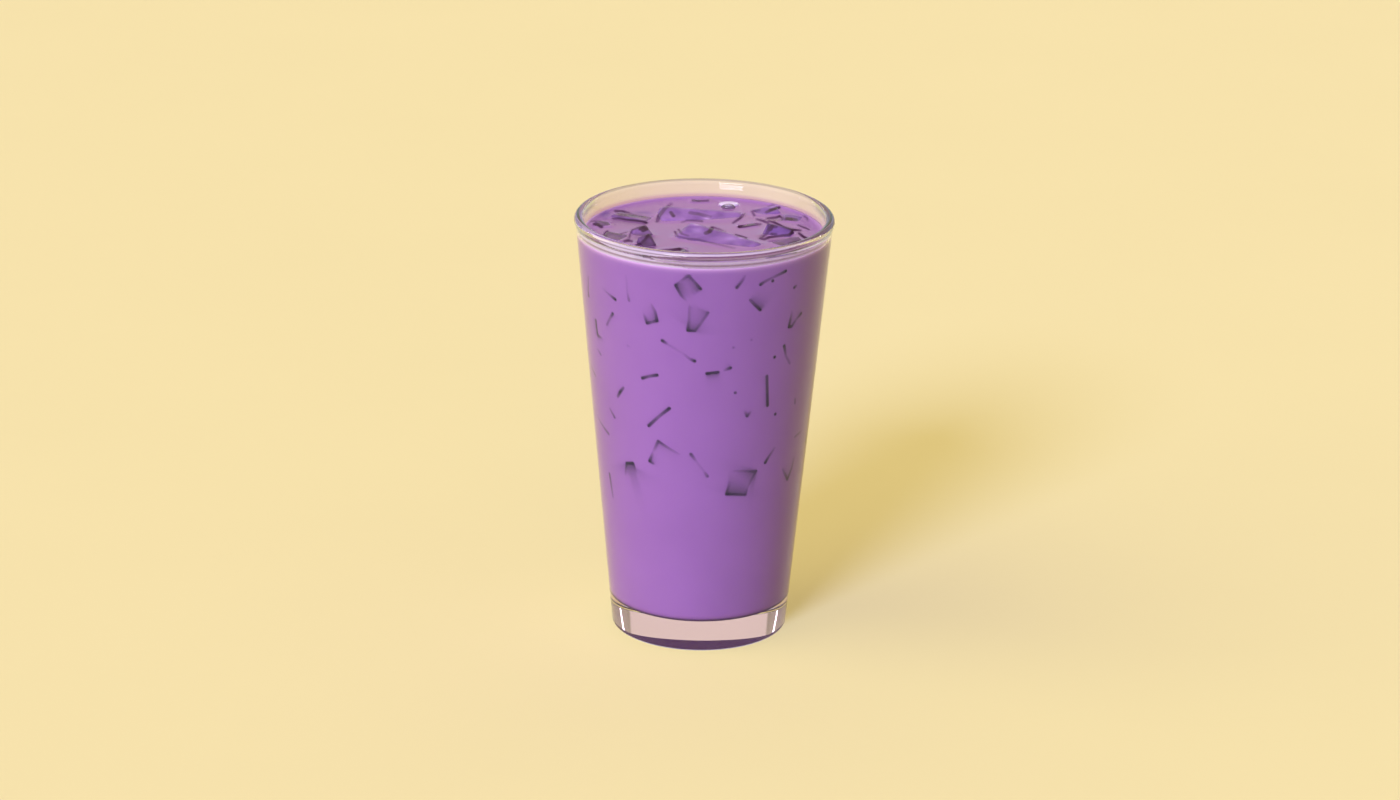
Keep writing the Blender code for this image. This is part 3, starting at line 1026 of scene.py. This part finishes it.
def drink_rings():
    """(r, z, columns) of each ring of the drink's skin, from the middle of its top."""
    edge = drink_radius(DRINK_LEVEL)
    rings = []
    r = TOP_BEGINS
    while r < edge - TOP_ENDS:
        share = 1 if r > TOP_FEWER[0] else 2 if r > TOP_FEWER[1] else 4
        rings.append((r, DRINK_LEVEL, TOP_COLUMNS // share))
        r += TOP_STEP if r < edge - NEAR_WALL else WALL_STEP
    z = DRINK_LEVEL + MENISCUS_HEIGHT
    rings.append((drink_radius(z), z, TOP_COLUMNS))
    z -= 0.3
    corner_z = FLOOR + FLOOR_ROUNDING
    while z > corner_z + 2.0:
        rings.append((drink_radius(z), z, SIDE_COLUMNS))
        if z > HIGH_FROM:
            z -= HIGH_STEP
        else:
            z -= SIDE_STEP if z > PLAIN_TO else PLAIN_STEP
    corner_r = wall_inner_radius(corner_z) - FLOOR_ROUNDING
    corner = arc((corner_r, corner_z), FLOOR_ROUNDING + INTO_THE_GLASS, -WALL_LEAN, -90, 8)
    rings += [(r, z, SIDE_COLUMNS) for r, z in corner]
    r = corner_r - BOTTOM_STEP
    while r > 3.0:
        rings.append((r, FLOOR - INTO_THE_GLASS, SIDE_COLUMNS // 2))
        r -= BOTTOM_STEP
    return rings


def on_the_side(points):
    """Which points lie on the drink's side, against the glass."""
    radius = np.hypot(points[:, 0], points[:, 1]) / MM
    height = points[:, 2] / MM
    wall = wall_inner_radius(height)
    return (height > FLOOR + FLOOR_ROUNDING + 0.5) & (radius > wall - ON_THE_SIDE)


def refine(drink, edges):
    """Cuts the drink's skin finer where ice shows, and lays the new points on the glass."""
    bm = bmesh.new()
    bm.from_mesh(drink.data)
    bm.faces.ensure_lookup_table()
    centres = np.array([f.calc_center_median()[:] for f in bm.faces])
    side = on_the_side(centres) & (centres[:, 2] < SIDE_CUTS_TO * MM)
    angle, height = angle_and_height(centres)
    lines = [(0.0, *path) for _, *path in edges]
    on_side = side & (ice_seen_at(angle, height, lines, SIDE_CUTS_REACH) > CUT_FROM)
    on_top = np.abs(height - DRINK_LEVEL) < 1e-3
    on_top &= top_edges_at(centres, TOP_CUTS_REACH) > CUT_FROM
    for marked, cuts in ((on_side, SIDE_CUTS), (on_top, TOP_CUTS)):
        cut = {e for i in np.nonzero(marked)[0] for e in bm.faces[i].edges}
        bmesh.ops.subdivide_edges(bm, edges=list(cut), cuts=cuts, use_grid_fill=True)
        bm.faces.ensure_lookup_table()
    bm.to_mesh(drink.data)
    bm.free()
    points = points_of(drink.data)
    found = on_the_side(points)
    wanted = drink_radius(points[:, 2] / MM) * MM
    scale = np.where(found, wanted / np.maximum(np.hypot(points[:, 0], points[:, 1]), 1e-9), 1.0)
    points[:, :2] *= scale[:, None]
    set_points(drink.data, points)


# Each bubble: x, y, half width, half depth and height, how flat on top (2 is a round dome), and
# how clear and dark its skin is, the dark being partly painted reflection
BUBBLES = (
    (8.4, 34.3, 3.6, 2.5, 0.75, 3.0, 0.0),
    (8.2, 30.6, 2.5, 1.9, 1.30, 2.2, 1.0),
)
BUBBLE_SKIN = 0.12  # mm
BUBBLE_RINGS, BUBBLE_COLUMNS = 16, 64
BUBBLE_THIN = (0.97, 0.67)  # shares of the height from which the skin thins and is thin
BUBBLE_SUNK = 0.05  # mm below the drink's level
RIPPLE = 0.07  # height of the rings round the bubbles
RIPPLE_LENGTH = 1.9  # from one to the next
RIPPLES_REACH = 5.0
ICE_MENISCUS = 0.45  # how high the drink climbs the ice
ICE_MENISCUS_REACH = 0.7
ICE_NEAR = 4.0  # no climb further off than this
UNEVEN = 0.05  # height of waves all over the surface
UNEVEN_WAVES = 140.0  # a metre


def shape_surface(drink, ice):
    """Draws the surface up at the wall and at the ice, with faint ripples between."""
    tree = tree_of(ice)
    edge = wall_inner_radius(DRINK_LEVEL)
    for v in drink.data.vertices:
        if abs(v.co.z - DRINK_LEVEL * MM) > 1e-6:
            continue
        r = math.hypot(v.co.x, v.co.y) / MM
        climb = MENISCUS_HEIGHT * math.exp(-max(0.0, edge - r) / MENISCUS_REACH)
        place, _, _, distance = tree.find_nearest(v.co, ICE_NEAR * MM)
        if place is not None:
            climb += ICE_MENISCUS * math.exp(-distance / MM / ICE_MENISCUS_REACH)
        ripple = UNEVEN * noise.noise(v.co * UNEVEN_WAVES)
        away = math.hypot(v.co.x / MM - BUBBLES[1][0], v.co.y / MM - BUBBLES[1][1])
        rings = math.cos(away / RIPPLE_LENGTH * math.tau) * math.exp(-away / RIPPLES_REACH)
        ripple += RIPPLE * rings
        v.co.z += (climb + ripple) * MM


POCKET_DETAIL = 0.22  # share of the ice's faces that its pocket keeps


def carve(drink, ice):
    """Cuts the ice out of the drink, a hair smaller, so that milk meets ice with no gap. The
    pockets have fewer faces than the ice in them."""
    pockets = bpy.data.collections.new("pockets")
    bpy.context.scene.collection.children.link(pockets)
    for obj in ice:
        mesh = obj.data.copy()
        set_points(mesh, points_of(mesh) - normals_of(mesh) * INTO_THE_ICE * MM)
        cutter = bpy.data.objects.new(obj.name + "_pocket", mesh)
        fewer = cutter.modifiers.new("fewer", "DECIMATE")
        fewer.ratio = POCKET_DETAIL
        pockets.objects.link(cutter)
    boolean = drink.modifiers.new("pockets", "BOOLEAN")
    boolean.operation = "DIFFERENCE"
    boolean.operand_type = "COLLECTION"
    boolean.collection = pockets
    boolean.solver = "MANIFOLD"
    apply_modifiers(drink)
    for cutter in list(pockets.objects):
        bpy.data.objects.remove(cutter, do_unlink=True)
    bpy.data.collections.remove(pockets)


FROTH_DEPTH = 0.55  # mm that it reaches down the glass
FROTH_FULL = 0.35  # mm below the top of the drink's edge, full as far as this
FROTH_ON_TOP = 0.18  # how strong it is where the surface climbs the glass
DARK_FROM = 0.3  # how clearly ice shows where the milk's gloss is gone
# Painted shade: a dark line round the drink's bottom, stored as ice that shows though no ice
# is there: mm above the floor, half width, soft width and strength
PAINTED_BOTTOM_SHADE = (0.5, 0.35, 0.6, 0.7)
# The drink's materials: name, colours, specular level, roughness and the ice seen in it
MILKS = (
    ("latte_at_the_glass", MILK, MILK_DEEP, 0.0, 0.5, ICE_SEEN),
    ("latte_surface", MILK_OPEN, MILK_OPEN_DEEP, 0.5, 0.12, ICE_OPEN),
    ("latte_over_ice", MILK_OPEN, MILK_OPEN_DEEP, 0.12, 0.12, ICE_OPEN),
)
AT_THE_GLASS, SURFACE, OVER_ICE = range(3)


def paint_drink(drink, edges):
    """Materials under the glass, open to the air and where dark ice breaks the surface, and
    how clearly ice shows at each point, with painted shade on the top and round the bottom."""
    mesh = drink.data
    mesh.materials.clear()
    for row in MILKS:
        mesh.materials.append(latte_material(*row))
    points = points_of(mesh)
    side = on_the_side(points)
    angle, height = angle_and_height(points)
    top = ~side & (height > DRINK_LEVEL - 1.0)
    shown_on_top = top_edges_at(points) * top
    # Painted shade round the bottom of the drink, kept with the ice that shows
    line_z, half, soft, strength = PAINTED_BOTTOM_SHADE
    below = strength * smooth_fall(np.abs(height - FLOOR - line_z), half, soft)
    froth_to = DRINK_LEVEL + MENISCUS_HEIGHT - FROTH_FULL
    froth = np.exp(-np.maximum(froth_to - height, 0.0) / FROTH_DEPTH)
    climb = np.clip((height - DRINK_LEVEL) / MENISCUS_HEIGHT, 0.0, 1.0)
    add_values(
        mesh,
        # ice_seen also holds the painted shade round the bottom
        ice_seen=np.where(side, ice_seen_at(angle, height, edges), shown_on_top + below),
        froth=np.where(side, froth, FROTH_ON_TOP * climb * top),
        pale=np.zeros(len(points)),
        deep=patches_at(points, DEEP_ICE) * top,
        # Painted shade on the drink's top
        dull=patches_at(points, PAINTED_ICE_SHADE_PATCHES) * top,
    )
    for p in mesh.polygons:
        c = p.center
        near_wall = math.hypot(c.x, c.y) / MM > wall_inner_radius(c.z / MM) - 0.02
        if near_wall or c.z / MM < 100:
            p.material_index = AT_THE_GLASS
        else:
            dark = min(shown_on_top[v] for v in p.vertices) > DARK_FROM
            p.material_index = OVER_ICE if dark else SURFACE
    mesh.shade_smooth()


def make_bubbles():
    """Two thin domes of drink at the far side, with painted reflections: a wide cloudy one and a
    clear one before it.
    """
    material = bubble_material()
    for number, (x, y, half_x, half_y, height, crown, clear) in enumerate(BUBBLES, 1):
        up = [math.pi / 2 * i / BUBBLE_RINGS for i in range(BUBBLE_RINGS)]
        power = 2.0 / crown
        dome = [(math.cos(a) ** power, math.sin(a) ** power) for a in up] + [(0.0, 1.0)]
        share = 1.0 - BUBBLE_SKIN / height
        inside = [(r * share, z * share) for r, z in dome]
        bubble = revolve("bubble_%d" % number, dome[::-1] + inside, BUBBLE_COLUMNS)
        points = points_of(bubble.data) / MM
        thin_from, thin_to = BUBBLE_THIN
        thin = np.clip((thin_from - points[:, 2]) / (thin_from - thin_to), 0.0, 1.0)
        add_values(bubble.data, clear=clear * (0.5 + 0.5 * thin))
        points *= np.array((half_x, half_y, height))
        points += np.array((x, y, DRINK_LEVEL - BUBBLE_SUNK))
        set_points(bubble.data, points * MM)
        bubble.data.materials.append(material)
        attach(bubble, "root")


def make_latte():
    material = ice_material()
    ice = [ice_piece(node, material) for node in sorted(TONES)]
    edges = edges_all_round()
    drink = skin("latte_drink", drink_rings(), DRINK_LEVEL, FLOOR - INTO_THE_GLASS)
    refine(drink, edges)
    shape_surface(drink, ice)
    carve(drink, ice)
    paint_drink(drink, edges)
    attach(drink, "root")
    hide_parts("latte")
    make_bubbles()


# ---- everything ----


bpy.context.scene.view_settings.view_transform = "Standard"
make_camera()
make_floor()
make_world()
make_lights()
make_glass()
make_latte()
